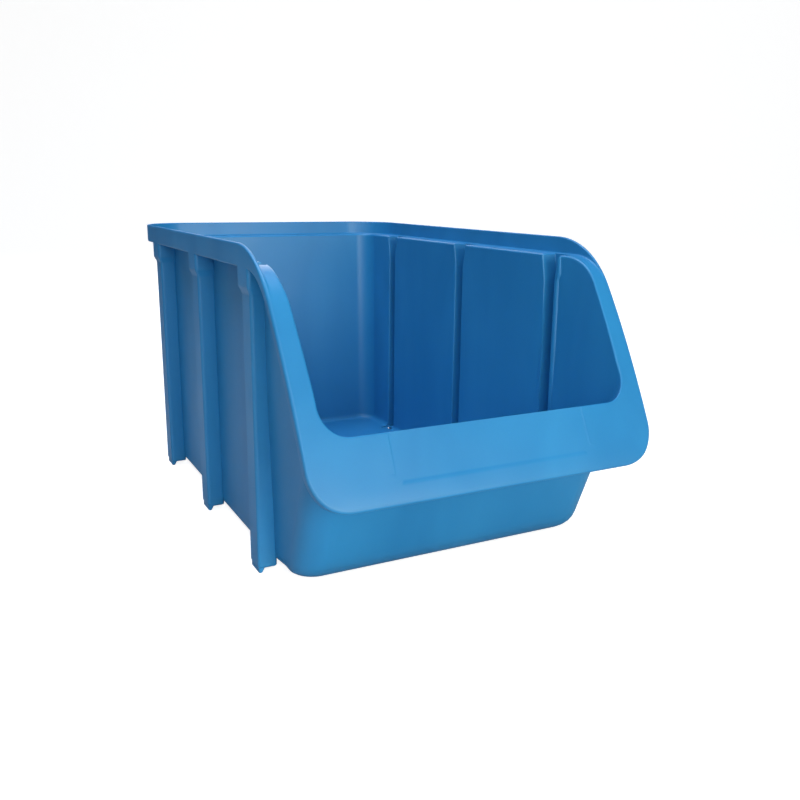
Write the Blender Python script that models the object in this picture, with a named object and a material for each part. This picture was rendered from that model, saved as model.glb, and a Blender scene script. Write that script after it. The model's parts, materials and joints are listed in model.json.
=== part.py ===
"""Stackable storage bin: an open-fronted, one-piece injection-moulded polypropylene tray.

Metres, +Z up. The origin is on the base plane, under the middle of the bin's overall box.
The mouth faces -Y and the closed rear wall faces +Y. The moulding is one shell in reality. Here each
region of it is its own closed solid, parted from its neighbours by a small gap.
"""

from math import cos, pi, radians, sin, tan

import bmesh
import bpy

# Overall size
HEIGHT = 0.1770
LENGTH = 0.3500
RIM_HALF = 0.1035
PLAN_TAPER = 0.0020
GAP = 0.0003

# How far cutters run past a solid, and well past it, and a corner that is all but sharp
MARGIN = 0.0200
FAR = 0.3000
SHARP = 0.0010

# Shell
WALL = 0.0020
FLOOR = 0.0022
TUB_BASE_Z = 0.0030
TUB_HALF_TOP = 0.0920
TUB_HALF_BASE = 0.0920
REAR_TOP_Y = 0.1680
REAR_BASE_Y = 0.1640
FRONT_BASE_Y = -0.1260
FRONT_LEAN = radians(20.0)
REAR_CORNER = 0.0140
FRONT_CORNER_BASE = 0.0160
FRONT_CORNER_TOP = 0.0080
SIDE_FILLET = 0.0035
FRONT_FILLET = 0.0150

# Where the regions part: the pan's top edge, the front wall's and rear wall's returns, and the lip's top
FLOOR_TOP_Z = 0.0080
FRONT_RETURN = 0.0240
REAR_JOIN_Y = 0.1500
LIP_TOP_Z = 0.0922

# Stepped rim: a ledge with an upstand round its outer edge
LEDGE_Z = 0.1667
LEDGE_THICK = 0.0019
UPSTAND = 0.0020
RIM_CORNER = 0.0320
RIM_DRAFT = 0.0022

# Mouth flange, as arcs in side view that turn from level to nearly upright
LIP_END_Z = 0.0599
SHOULDER_RADIUS = 0.0340
SHOULDER_END = radians(56.0)
ARM_END = radians(66.0)
ROLL_END = radians(85.0)
ROLL_RADIUS = 0.0180
TURN_STEPS = 8
ROLL_STEPS = 4
SHEET = 0.0019
SKIRT_DEPTH = 0.0050
SKIRT = 0.0022
LIP_CORNER = 0.0210
MOUTH_HALF = 0.0903
MOUTH_Z = 0.0932
MOUTH_CORNER = 0.0140
LABEL_HALF = 0.0560
LABEL_LOW_Z = 0.0710
LABEL_DEPTH = 0.0006
RIM_END_Y = -0.0640

# Hollow stacking ribs, three a side
RIB_FRONT_Y = (0.1136, 0.0101, -0.0934)
RIB_WIDTH = 0.0148
RIB_HALF_TOP = 0.1018
RIB_HALF_BASE = 0.1012
RIB_WALL = 0.0020
RIB_FLOOR_Z = 0.0026
HEAD_LOW_Z = 0.1510
HEAD_STEP_Z = 0.1560
HEAD_HALF_X = 0.1034
HEAD_FLARE = 0.0014
HEAD_GAP = 0.0010
CHANNEL_REACH = 0.0800

BLUE = (0.045, 0.262, 0.604)

for existing in list(bpy.data.objects):
    bpy.data.objects.remove(existing)

parts = bpy.data.collections.new("stackable_storage_bin")
cutters = bpy.data.collections.new("cutters")
bpy.context.scene.collection.children.link(parts)
bpy.context.scene.collection.children.link(cutters)


def moulded_material(name):
    """Glossy blue polypropylene, one material for each region."""
    material = bpy.data.materials.new(name)
    material.use_nodes = True
    shader = material.node_tree.nodes["Principled BSDF"]
    shader.inputs["Base Color"].default_value = (*BLUE, 1.0)
    shader.inputs["Roughness"].default_value = 0.38
    shader.inputs["Metallic"].default_value = 0.0
    return material


def add_mesh(name, mesh, collection):
    """Links a mesh as an object. A cutter is kept out of renders."""
    obj = bpy.data.objects.new(name, mesh)
    collection.objects.link(obj)
    if collection is cutters:
        obj.hide_render = True
        obj.display_type = "WIRE"
    return obj


def prism(name, outline, axis, low, high):
    """A flat outline given thickness along one axis. An X outline is (y, z), a Y outline (x, z)."""
    curve = bpy.data.curves.new(name, "CURVE")
    curve.dimensions = "2D"
    curve.fill_mode = "BOTH"
    curve.extrude = (high - low) / 2
    spline = curve.splines.new("POLY")
    spline.points.add(len(outline) - 1)
    for point, (u, v) in zip(spline.points, outline):
        point.co = (u, v, 0.0, 1.0)
    spline.use_cyclic_u = True
    guide = bpy.data.objects.new(name + "_outline", curve)
    cutters.objects.link(guide)
    middle = (low + high) / 2
    if axis == "X":
        guide.rotation_euler = (pi / 2, 0.0, pi / 2)
        guide.location = (middle, 0.0, 0.0)
    elif axis == "Y":
        guide.rotation_euler = (pi / 2, 0.0, 0.0)
        guide.location = (0.0, middle, 0.0)
    else:
        guide.location = (0.0, 0.0, middle)
    bpy.context.view_layer.update()
    graph = bpy.context.evaluated_depsgraph_get()
    mesh = bpy.data.meshes.new_from_object(guide.evaluated_get(graph))
    mesh.transform(guide.matrix_world)
    work = bmesh.new()
    work.from_mesh(mesh)
    bmesh.ops.remove_doubles(work, verts=work.verts, dist=1e-6)
    bmesh.ops.recalc_face_normals(work, faces=work.faces)
    work.to_mesh(mesh)
    work.free()
    bpy.data.objects.remove(guide)
    return add_mesh(name, mesh, cutters)


def box(name, low, high):
    """A block between two opposite corners, kept as a cutter."""
    work = bmesh.new()
    bmesh.ops.create_cube(work, size=1.0)
    for vert in work.verts:
        for i in range(3):
            vert.co[i] = (low[i] + high[i]) / 2 + vert.co[i] * (high[i] - low[i])
    mesh = bpy.data.meshes.new(name)
    work.to_mesh(mesh)
    work.free()
    return add_mesh(name, mesh, cutters)


def loft(name, sections):
    """A closed solid through rings that have the same number of points, capped at both ends."""
    work = bmesh.new()
    rings = [[work.verts.new(point) for point in ring] for ring in sections]
    count = len(rings[0])
    for below, above in zip(rings, rings[1:]):
        for i in range(count):
            j = (i + 1) % count
            work.faces.new((below[i], below[j], above[j], above[i]))
    work.faces.new(list(reversed(rings[0])))
    work.faces.new(rings[-1])
    bmesh.ops.recalc_face_normals(work, faces=work.faces)
    mesh = bpy.data.meshes.new(name)
    work.to_mesh(mesh)
    work.free()
    return add_mesh(name, mesh, cutters)


def combine(base, other, operation):
    """Runs one exact Boolean on the base and keeps its result as the base's mesh."""
    modifier = base.modifiers.new(operation.lower(), "BOOLEAN")
    modifier.operation = operation
    modifier.solver = "EXACT"
    modifier.object = other
    bpy.context.view_layer.update()
    graph = bpy.context.evaluated_depsgraph_get()
    mesh = bpy.data.meshes.new_from_object(base.evaluated_get(graph))
    base.modifiers.clear()
    base.data = mesh
    return base


def copy_of(obj, name):
    return add_mesh(name, obj.data.copy(), cutters)


def finish_part(obj, name):
    """Makes a worked solid one of the bin's named regions."""
    cutters.objects.unlink(obj)
    parts.objects.link(obj)
    obj.hide_render = False
    obj.display_type = "TEXTURED"
    obj.name = name
    obj.data.name = name
    obj.data.materials.clear()
    obj.data.materials.append(moulded_material(name + "_polypropylene"))
    obj.data.shade_smooth()
    obj.data.set_sharp_from_angle(angle=radians(30.0))
    return obj


def mirrored_part(obj, name):
    """The other side's copy of a left-hand region, with its faces turned back out."""
    mesh = obj.data.copy()
    work = bmesh.new()
    work.from_mesh(mesh)
    for vert in work.verts:
        vert.co.x = -vert.co.x
    bmesh.ops.reverse_faces(work, faces=work.faces)
    work.to_mesh(mesh)
    work.free()
    return finish_part(add_mesh(name, mesh, cutters), name)


def arc(centre, radius, start, end, steps):
    """Points on a circle, both ends included, with angles from +u towards +v."""
    points = []
    for i in range(steps + 1):
        angle = start + (end - start) * i / steps
        points.append((centre[0] + radius * cos(angle), centre[1] + radius * sin(angle)))
    return points


def plan_ring(half, front, rear, front_corner, rear_corner, z, steps=5):
    """A rounded rectangle seen from above, anticlockwise from the rear right corner."""
    corners = (
        ((half - rear_corner, rear - rear_corner), rear_corner, 0.0),
        ((-half + rear_corner, rear - rear_corner), rear_corner, pi / 2),
        ((-half + front_corner, front + front_corner), front_corner, pi),
        ((half - front_corner, front + front_corner), front_corner, 3 * pi / 2),
    )
    ring = []
    for centre, radius, start in corners:
        ring += [(x, y, z) for x, y in arc(centre, radius, start, start + pi / 2, steps)]
    return ring


def narrowing(y):
    """How much narrower each side is at y than at the mouth, for the slight taper to the rear."""
    return PLAN_TAPER * (y + LENGTH / 2) / LENGTH


def tapered(ring):
    """A plan ring drawn in towards the rear by the plan taper."""
    return [(x * (1 - narrowing(y) / RIM_HALF), y, z) for x, y, z in ring]


def fillet_inset(radius, rise):
    """How far a quarter-round base edge stands in from the wall at a height above the base."""
    if rise >= radius:
        return 0.0
    return radius - (radius**2 - (radius - rise) ** 2) ** 0.5


def tub_ring(z, inset, base_z):
    """The tub's plan at one height, drawn in by inset from its outer face."""
    share = (z - TUB_BASE_Z) / (LEDGE_Z - TUB_BASE_Z)
    side_in = inset + fillet_inset(SIDE_FILLET, z - base_z)
    front_in = inset / cos(FRONT_LEAN) + fillet_inset(FRONT_FILLET - inset, z - base_z)
    half = TUB_HALF_BASE + (TUB_HALF_TOP - TUB_HALF_BASE) * share - side_in
    rear = REAR_BASE_Y + (REAR_TOP_Y - REAR_BASE_Y) * share - side_in
    front = FRONT_BASE_Y - (z - TUB_BASE_Z) * tan(FRONT_LEAN) + front_in
    corner_share = min(1.0, max(0.0, z / MOUTH_Z))
    corner = FRONT_CORNER_BASE + (FRONT_CORNER_TOP - FRONT_CORNER_BASE) * corner_share
    return tapered(plan_ring(half, front, rear, corner - inset / 2, REAR_CORNER - inset, z))


def tub_solid(name, inset, base_z, top_z):
    """The tub as a solid block: rounded in at the base, straight walls above."""
    rises = (0.0, 0.0005, 0.0014, 0.0025, SIDE_FILLET, 0.0060, FRONT_FILLET)
    heights = [base_z + rise for rise in rises] + [MOUTH_Z, top_z]
    return loft(name, [tub_ring(z, inset, base_z) for z in heights])


def rectangle(x0, x1, y0, y1):
    """The four corners of a plan rectangle, in order."""
    return ((x0, y0), (x1, y0), (x1, y1), (x0, y1))


def chain(start, first_angle, legs):
    """Joined arcs in side view. Each leg is (radius, end angle), angles down from level."""
    y, z = start
    angle = first_angle
    points = [start]
    for radius, end, steps in legs:
        for i in range(1, steps + 1):
            turn = angle + (end - angle) * i / steps
            points.append((y - radius * (sin(turn) - sin(angle)), z - radius * (cos(angle) - cos(turn))))
        y, z = points[-1]
        angle = end
    return points


def offset_line(points, angles, depth):
    """Moves each point of a side-view line behind its face by depth."""
    return [(y + depth * sin(a), z - depth * cos(a)) for (y, z), a in zip(points, angles)]


# Side-view lines of the mouth flange, all running from the rear forwards and down.
shoulder_drop = SHOULDER_RADIUS * (1 - cos(SHOULDER_END))
roll_drop = ROLL_RADIUS * (cos(ARM_END) - cos(ROLL_END))
arm_drop = LEDGE_Z - LIP_END_Z - shoulder_drop - roll_drop
ARM_RADIUS = arm_drop / (cos(SHOULDER_END) - cos(ARM_END))
arm_reach = ARM_RADIUS * (sin(ARM_END) - sin(SHOULDER_END))
roll_reach = ROLL_RADIUS * (sin(ROLL_END) - sin(ARM_END))
shoulder_reach = SHOULDER_RADIUS * sin(SHOULDER_END)
shoulder_y = -LENGTH / 2 + roll_reach + arm_reach + shoulder_reach
face_line = chain(
    (shoulder_y, LEDGE_Z),
    0.0,
    (
        (SHOULDER_RADIUS, SHOULDER_END, TURN_STEPS),
        (ARM_RADIUS, ARM_END, TURN_STEPS),
        (ROLL_RADIUS, ROLL_END, ROLL_STEPS),
    ),
)
face_angles = [SHOULDER_END * i / TURN_STEPS for i in range(TURN_STEPS + 1)]
face_angles += [SHOULDER_END + (ARM_END - SHOULDER_END) * i / TURN_STEPS for i in range(1, TURN_STEPS + 1)]
face_angles += [ARM_END + (ROLL_END - ARM_END) * i / ROLL_STEPS for i in range(1, ROLL_STEPS + 1)]
MERGE = TURN_STEPS
ROLL_START = 2 * TURN_STEPS + 1

# The upstand's crest comes down on the face at one of the face line's own points.
merge_y, merge_z = face_line[MERGE]
CREST_END = face_angles[MERGE]
CREST_RADIUS = (HEIGHT - merge_z) / (1 - cos(CREST_END))
crest_start = (merge_y + CREST_RADIUS * sin(CREST_END), HEIGHT)
crest_line = chain(crest_start, 0.0, ((CREST_RADIUS, CREST_END, TURN_STEPS),))
crest_line = crest_line[:-1] + face_line[MERGE:]
arm_start = face_line[MERGE]
behind = offset_line([arm_start], [SHOULDER_END], SKIRT_DEPTH)[0]
band_z = LEDGE_Z - LEDGE_THICK
hem_radius = (band_z - behind[1]) / (1 - cos(SHOULDER_END))
hem_start = (behind[0] + hem_radius * sin(SHOULDER_END), band_z)
hem_line = chain(hem_start, 0.0, ((hem_radius, SHOULDER_END, TURN_STEPS),))
hem_line += offset_line(face_line[MERGE + 1 :], face_angles[MERGE + 1 :], SKIRT_DEPTH)
back_line = offset_line(face_line, face_angles, SHEET)

# The tub: a solid block less its cavity, cut off along the mouth and below the rim.
tub = tub_solid("tub", 0.0, TUB_BASE_Z, LEDGE_Z - LEDGE_THICK - GAP)
cavity = tub_solid("cavity", WALL, TUB_BASE_Z + FLOOR, HEIGHT)
combine(tub, cavity, "DIFFERENCE")
clearance_line = offset_line(face_line, face_angles, SHEET + GAP)
mouth_outline = [(-FAR, LEDGE_Z + MARGIN), (shoulder_y, LEDGE_Z + MARGIN)] + clearance_line[:ROLL_START]
mouth_y, mouth_low_z = clearance_line[ROLL_START - 1]
mouth_outline += [(mouth_y - MARGIN, mouth_low_z - MARGIN), (-FAR, mouth_low_z - 2 * MARGIN)]
combine(tub, prism("mouth_cutter", mouth_outline, "X", -FAR, FAR), "DIFFERENCE")
# Between its corners the front wall ends level with the mouth's lower edge.
straight_half = TUB_HALF_TOP - FRONT_CORNER_TOP
mouth_gap = box("mouth_gap", (-straight_half, -FAR, MOUTH_Z), (straight_half, shoulder_y - MARGIN, FAR))
combine(tub, mouth_gap, "DIFFERENCE")

# Each rib is a hollow box with a flared head, open to the inside of the bin.
channels = []
rib_solids = []
for number, front in enumerate(RIB_FRONT_Y):
    rear = front + RIB_WIDTH
    levels = (
        (RIB_FLOOR_Z, 0.0, 0.0),
        (HEAD_LOW_Z, 1.0, 0.0),
        (HEAD_STEP_Z, 1.0, 1.0),
        (LEDGE_Z - LEDGE_THICK - HEAD_GAP, 1.0, 1.0),
        (HEIGHT, 1.0, 1.0),
    )
    outside = []
    inside = []
    for z, up, head in levels:
        shaft_face = RIB_HALF_BASE + (RIB_HALF_TOP - RIB_HALF_BASE) * up - narrowing(front)
        face = shaft_face + (HEAD_HALF_X - RIB_HALF_TOP) * head
        flare = HEAD_FLARE * head
        wall_out = TUB_HALF_BASE + (TUB_HALF_TOP - TUB_HALF_BASE) * z / LEDGE_Z - narrowing(rear) + GAP
        outside.append([(x, y, z) for x, y in rectangle(-face, -wall_out, front - flare, rear + flare)])
        y0 = front - flare + RIB_WALL
        y1 = rear + flare - RIB_WALL
        x1 = RIB_WALL - shaft_face
        floor_z = z + RIB_WALL if up == 0.0 else z
        inside.append([(x, y, floor_z) for x, y in rectangle(x1, -CHANNEL_REACH, y0, y1)])
    rib = loft(f"rib_{number}", outside[:-1])
    channel = loft(f"channel_{number}", inside)
    foot = box(
        f"foot_{number}",
        (narrowing(front) - RIB_HALF_BASE, front, 0.0),
        (narrowing(front) - RIB_HALF_BASE + RIB_WALL, rear, RIB_FLOOR_Z + SHARP),
    )
    combine(rib, foot, "UNION")
    combine(rib, channel, "DIFFERENCE")
    combine(tub, channel, "DIFFERENCE")
    mirrored = copy_of(channel, f"channel_right_{number}")
    for vert in mirrored.data.vertices:
        vert.co.x = -vert.co.x
    mirrored.data.flip_normals()
    combine(tub, mirrored, "DIFFERENCE")
    channels += [channel, mirrored]
    rib_solids.append(rib)

# The tub's regions, parted by planes with a gap between them.
front_inner = FRONT_BASE_Y + FRONT_RETURN
slope = tan(FRONT_LEAN)
low = FLOOR_TOP_Z + GAP
front_low = front_inner - (low - TUB_BASE_Z) * slope
front_high = front_inner - (MOUTH_Z - TUB_BASE_Z) * slope


def region(name, solid, outline, side=None):
    """The part of a solid inside a side-view outline, optionally on the left only."""
    edge = 0.0 if side == "left" else FAR
    piece = copy_of(solid, name + "_solid")
    combine(piece, prism(name + "_region", outline, "X", -FAR, edge), "INTERSECT")
    return piece


floor_outline = [(-FAR, -MARGIN), (FAR, -MARGIN), (FAR, FLOOR_TOP_Z), (-FAR, FLOOR_TOP_Z)]
finish_part(region("floor", tub, floor_outline), "floor_pan")
rear_outline = [(REAR_JOIN_Y + GAP, low), (FAR, low), (FAR, FAR), (REAR_JOIN_Y + GAP, FAR)]
finish_part(region("rear", tub, rear_outline), "rear_wall")
front_outline = [(-FAR, low), (front_low, low), (front_high, MOUTH_Z), (-FAR, MOUTH_Z)]
finish_part(region("front", tub, front_outline), "front_wall")
# The ribs' channels part each side wall into four panels.
middles = [front + RIB_WIDTH / 2 for front in RIB_FRONT_Y]
PANEL_NAMES = ("rear", "rear_middle", "front_middle")
for place, rear, front in zip(PANEL_NAMES, [REAR_JOIN_Y] + middles, middles):
    panel_outline = [(front, low), (rear, low), (rear, FAR), (front, FAR)]
    panel = finish_part(region(place, tub, panel_outline, "left"), f"left_{place}_panel")
    mirrored_part(panel, f"right_{place}_panel")
front_panel_outline = [
    (middles[-1], low),
    (middles[-1], FAR),
    (-FAR, FAR),
    (-FAR, MOUTH_Z + GAP),
    (front_high + GAP, MOUTH_Z + GAP),
    (front_low + GAP, low),
]
front_panel = finish_part(region("front_side", tub, front_panel_outline, "left"), "left_front_panel")
mirrored_part(front_panel, "right_front_panel")

# The rim: a ring with a ledge and an upstand, open where each rib's pocket comes up.
outer_block = loft(
    "rim_block",
    [tapered(plan_ring(RIM_HALF, -LENGTH / 2, LENGTH / 2, SHARP, RIM_CORNER, z)) for z in (band_z, HEIGHT)],
)
inner_rim = (RIM_HALF - UPSTAND, -LENGTH / 2 - MARGIN, LENGTH / 2 - UPSTAND, SHARP, RIM_CORNER - UPSTAND)
upstand_space = loft("upstand_space", [tapered(plan_ring(*inner_rim, z)) for z in (LEDGE_Z, HEIGHT + MARGIN)])
combine(outer_block, upstand_space, "DIFFERENCE")
combine(outer_block, cavity, "DIFFERENCE")
for channel in channels:
    combine(outer_block, channel, "DIFFERENCE")
rim_low = band_z - MARGIN
rear_rim_outline = [(REAR_JOIN_Y + GAP, rim_low), (FAR, rim_low), (FAR, FAR), (REAR_JOIN_Y + GAP, FAR)]
finish_part(region("rear_rim", outer_block, rear_rim_outline), "rear_rim")
side_rim_outline = [
    (RIM_END_Y + GAP, rim_low),
    (REAR_JOIN_Y, rim_low),
    (REAR_JOIN_Y, FAR),
    (RIM_END_Y + GAP, FAR),
]
left_rim = finish_part(region("left_rim", outer_block, side_rim_outline, "left"), "left_rim")
mirrored_part(left_rim, "right_rim")

# The ribs, finished after the rim has used their pockets as cutters.
RIB_NAMES = ("rear", "middle", "front")
for rib, place in zip(rib_solids, RIB_NAMES):
    finish_part(rib, f"left_{place}_rib")
    mirrored_part(rib, f"right_{place}_rib")

# The mouth flange: a curved sheet in side view, trimmed to its outline in front view.


def frame_outline(half_top, half_low, low_z, corner, top_z):
    """The U of the flange in front view, from the top left down and round to the top right."""
    right = [(half_top, top_z)]
    right += list(reversed(arc((half_low - corner, low_z + corner), corner, -pi / 2, 0.0, 6)))
    return [(-x, z) for x, z in right] + list(reversed(right))


outline_top = HEIGHT + MARGIN
outer_outline = frame_outline(RIM_HALF, RIM_HALF - RIM_DRAFT, LIP_END_Z, LIP_CORNER, outline_top)
inset_half = RIM_HALF - SKIRT
inset_low_z = LIP_END_Z + SKIRT
inset_top = outline_top + MARGIN
inset_outline = frame_outline(inset_half, inset_half - RIM_DRAFT, inset_low_z, LIP_CORNER - SKIRT, inset_top)
opening_outline = frame_outline(MOUTH_HALF, MOUTH_HALF, MOUTH_Z, MOUTH_CORNER, inset_top)
space_rear = RIM_END_Y + MARGIN
front_space = [(space_rear, LEDGE_Z)] + face_line[: MERGE + 1]
front_space += [(merge_y - MARGIN, merge_z + MARGIN), (merge_y - MARGIN, FAR), (space_rear, FAR)]
back_low = LIP_END_Z - MARGIN
back_space = [(space_rear, band_z)] + back_line
back_space += [(back_line[-1][0], back_low), (space_rear, back_low)]
flange_outline = [(RIM_END_Y, HEIGHT)] + crest_line + list(reversed(hem_line)) + [(RIM_END_Y, band_z)]
flange = prism("flange", flange_outline, "X", -FAR / 2, FAR / 2)
combine(flange, prism("front_view", outer_outline, "Y", -FAR, FAR), "INTERSECT")
inset = prism("inset_view", inset_outline, "Y", -FAR, FAR)
for name, outline in (("front_space", front_space), ("back_space", back_space)):
    space = prism(name, outline, "X", -FAR, FAR)
    combine(space, inset, "INTERSECT")
    combine(flange, space, "DIFFERENCE")
combine(flange, prism("mouth_opening", opening_outline, "Y", -FAR, FAR), "DIFFERENCE")
label_face = offset_line(face_line, face_angles, -SHEET)[MERGE:ROLL_START]
label_back = offset_line(face_line, face_angles, LABEL_DEPTH)[MERGE:ROLL_START]
label = prism("label_slot", label_face + list(reversed(label_back)), "X", -LABEL_HALF, LABEL_HALF)
label_room = box("label_room", (-FAR, -FAR, LABEL_LOW_Z), (FAR, FAR, HEIGHT))
combine(label, label_room, "INTERSECT")
combine(flange, label, "DIFFERENCE")
for channel in channels:
    combine(flange, channel, "DIFFERENCE")
lip_box = box("lip_box", (-FAR, -FAR, 0.0), (FAR, FAR, LIP_TOP_Z))
arm_box = box("arm_box", (-FAR, -FAR, LIP_TOP_Z + GAP), (0.0, FAR, FAR))
lip = copy_of(flange, "lip")
combine(lip, lip_box, "INTERSECT")
finish_part(lip, "front_lip")
arm = copy_of(flange, "arm")
combine(arm, arm_box, "INTERSECT")
left_arm = finish_part(arm, "left_arm")
mirrored_part(left_arm, "right_arm")
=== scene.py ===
"""Stackable storage bin: one seamless injection moulding in blue polypropylene, on a pale studio floor.

The whole shell is one loft. Stations run round the bin, and each station's section climbs the inside of
the wall, crosses the ledge or the mouth flange, and comes down the outside to the base. The hollow ribs,
their pockets and the label recess are then joined to it or cut from it.
"""

import json
from math import acos, cos, pi, radians, sin, sqrt

import bmesh
import bpy
import numpy as np
from mathutils import Matrix, Vector

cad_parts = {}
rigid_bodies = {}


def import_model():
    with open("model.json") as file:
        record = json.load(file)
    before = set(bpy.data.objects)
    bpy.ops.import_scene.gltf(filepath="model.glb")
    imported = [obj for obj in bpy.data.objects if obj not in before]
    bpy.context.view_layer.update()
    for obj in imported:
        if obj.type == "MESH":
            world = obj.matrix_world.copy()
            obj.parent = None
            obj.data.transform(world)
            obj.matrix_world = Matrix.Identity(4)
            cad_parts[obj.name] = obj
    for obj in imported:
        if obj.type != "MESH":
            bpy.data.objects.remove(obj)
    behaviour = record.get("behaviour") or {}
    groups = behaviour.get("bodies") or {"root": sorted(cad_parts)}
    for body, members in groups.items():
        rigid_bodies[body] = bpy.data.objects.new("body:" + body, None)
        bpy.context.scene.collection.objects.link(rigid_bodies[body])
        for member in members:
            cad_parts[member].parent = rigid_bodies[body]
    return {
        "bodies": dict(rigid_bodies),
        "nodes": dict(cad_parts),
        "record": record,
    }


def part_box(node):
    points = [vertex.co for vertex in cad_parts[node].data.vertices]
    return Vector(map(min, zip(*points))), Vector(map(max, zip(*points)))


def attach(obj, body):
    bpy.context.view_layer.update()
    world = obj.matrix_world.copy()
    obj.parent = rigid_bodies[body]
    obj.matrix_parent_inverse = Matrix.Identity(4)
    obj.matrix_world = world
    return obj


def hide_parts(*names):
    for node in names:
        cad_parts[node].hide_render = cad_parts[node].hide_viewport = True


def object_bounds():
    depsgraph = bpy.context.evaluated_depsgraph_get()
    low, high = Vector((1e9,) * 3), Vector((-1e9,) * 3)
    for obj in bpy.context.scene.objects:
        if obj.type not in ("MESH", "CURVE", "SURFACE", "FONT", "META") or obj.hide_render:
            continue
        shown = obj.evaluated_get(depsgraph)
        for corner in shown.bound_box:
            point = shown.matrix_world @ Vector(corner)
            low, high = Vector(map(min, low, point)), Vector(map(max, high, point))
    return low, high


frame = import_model()
frame_objects = set(frame["nodes"].values()) | set(frame["bodies"].values())
for leftover in [o for o in bpy.data.objects if o not in frame_objects]:
    bpy.data.objects.remove(leftover)
cad_low, cad_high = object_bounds()

# Places read from the frame
ledge_z = next(m["pos_m"][2] for m in frame["record"]["mounts"] if m["name"] == "stacking_ledge")
crest_z = cad_high.z
rear_out_y = cad_high.y
lip_y = cad_low.y
lip_low_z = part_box("front_lip")[0].z
mouth_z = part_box("front_wall")[1].z
base_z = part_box("floor_pan")[0].z
rib_low, rib_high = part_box("right_rear_rib")
next_rib_low, next_rib_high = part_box("right_middle_rib")

# Shell, in metres
WALL = 0.0020
FLOOR = 0.0022
RIM_HALF = 0.1035
PLAN_TAPER = 0.0020
WALL_HALF = 0.0920
REAR_TOP_Y = 0.1680
REAR_BASE_Y = 0.1640
FRONT_BASE_Y = -0.1260
REAR_CORNER = 0.0140
FRONT_CORNER = 0.0160
RIM_CORNER = 0.0320
SIDE_FILLET = 0.0045
FRONT_FILLET = 0.0155
CORNER_FILLET = 0.0110
FLOOR_CORNER = 0.0060
OUTER_EXTRA = 0.6 * WALL

# Rim and mouth flange. The upstand has its full rounding once it stands FULL_RISE over the face.
UPSTAND = 0.0020
SHEET = 0.0019
LEDGE_FILLET = 0.0011
LEDGE_END = UPSTAND + LEDGE_FILLET
CREST_ROUND = 0.0009
CREST_OUT_ROUND = 0.00105
FULL_RISE = 0.0040
EDGE_ROUND = 0.0016
EDGE_FLAT = 0.2 * EDGE_ROUND
HEM_ROUND = 0.0007
HEM_OUT_ROUND = 1.4 * HEM_ROUND
LEAST_HEM = 0.00005
MOUTH_ROUND = 0.0015
SKIRT_DEPTH = 0.0050
SKIRT_END = UPSTAND + 0.0002
SKIRT_ROOT = UPSTAND + 0.00035
FLANGE_DRAFT = 0.0022
SHOULDER_RADIUS = 0.0340
SHOULDER_END = radians(56.0)
ARM_END = radians(66.0)
ROLL_RADIUS = 0.0180
ROLL_END = radians(85.0)
LIP_CORNER = 0.0210
MOUTH_HALF = 0.0903
MOUTH_CORNER = 0.0140

# The mouth's side edges swell outwards: by how much, how the swell is shaped, and its run-in on the ledge
MOUTH_FLARE = 0.0034
FLARE_BEGUN = 0.2
FLARE_SKEW = 0.8
FLARE_RUN = 0.0180

# How finely the shell is divided: stations along it, then points round a section
REAR_STATIONS = 6
REAR_CORNER_STEPS = 14
SIDE_STATIONS = 14
CREST_STATIONS = 10
ARM_STRIDE = 4
MOUTH_CORNER_STEPS = 26
LIP_STATIONS = 10
FACE_STEPS = 60
PATH_STEPS = 24
WALL_STEPS = 8
FILLET_STEPS = 7
MOUTH_STEPS = 6
LEDGE_STEPS = 10
BACK_STEPS = 7

# Where the close stations start behind the crest's bend, and where the foot's stations change pace
CREST_LEAD = 0.0040
FOOT_SPLIT_Y = -0.0600
# How far along the face its direction is taken, what counts as one point, and what stays a sharp edge
FACE_PROBE = 0.0030
MERGE_WITHIN = 1e-6
CREASE = radians(38.0)

UP = Vector((0.0, 0.0, 1.0))
SIDEWAYS = Vector((1.0, 0.0, 0.0))
REARWARD = Vector((0.0, 1.0, 0.0))
FORWARD = Vector((0.0, -1.0, 0.0))


def mix(a, b, t):
    """The point or number a share t of the way from a to b."""
    return a + (b - a) * t


def quarter_turns(steps):
    """Angles from zero to a right angle in equal steps."""
    return [pi / 2 * i / steps for i in range(steps + 1)]


def narrowing(y):
    """How much each side is drawn in at y, as the plan tapers to the rear."""
    return PLAN_TAPER * (y - lip_y) / (rear_out_y - lip_y)


# The flange's side view: a shoulder, a long arm and a roll, each an arc that turns further down.
shoulder_drop = SHOULDER_RADIUS * (1 - cos(SHOULDER_END))
roll_drop = ROLL_RADIUS * (cos(ARM_END) - cos(ROLL_END))
arm_radius = (ledge_z - lip_low_z - shoulder_drop - roll_drop) / (cos(SHOULDER_END) - cos(ARM_END))
arm_run = arm_radius * (sin(ARM_END) - sin(SHOULDER_END))
roll_run = ROLL_RADIUS * (sin(ROLL_END) - sin(ARM_END))
shoulder_y = lip_y + SHOULDER_RADIUS * sin(SHOULDER_END) + arm_run + roll_run


def face_table():
    """Side-view points down the flange's face with the slope at each: rows of y, z and angle."""
    y, z, angle = shoulder_y, ledge_z, 0.0
    rows = [(y, z, angle)]
    for radius, end in ((SHOULDER_RADIUS, SHOULDER_END), (arm_radius, ARM_END), (ROLL_RADIUS, ROLL_END)):
        for i in range(1, FACE_STEPS + 1):
            turn = mix(angle, end, i / FACE_STEPS)
            forward = radius * (sin(turn) - sin(angle))
            down = radius * (cos(angle) - cos(turn))
            rows.append((y - forward, z - down, turn))
        y, z, angle = rows[-1]
    return np.array(rows)


face = face_table()


def face_at(z):
    """The face's y and slope at a height."""
    return np.interp(-z, -face[:, 1], face[:, 0]), np.interp(-z, -face[:, 1], face[:, 2])


def slope_normal(angle):
    """The direction square to the face where it slopes at an angle."""
    return Vector((0.0, -sin(angle), cos(angle)))


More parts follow.
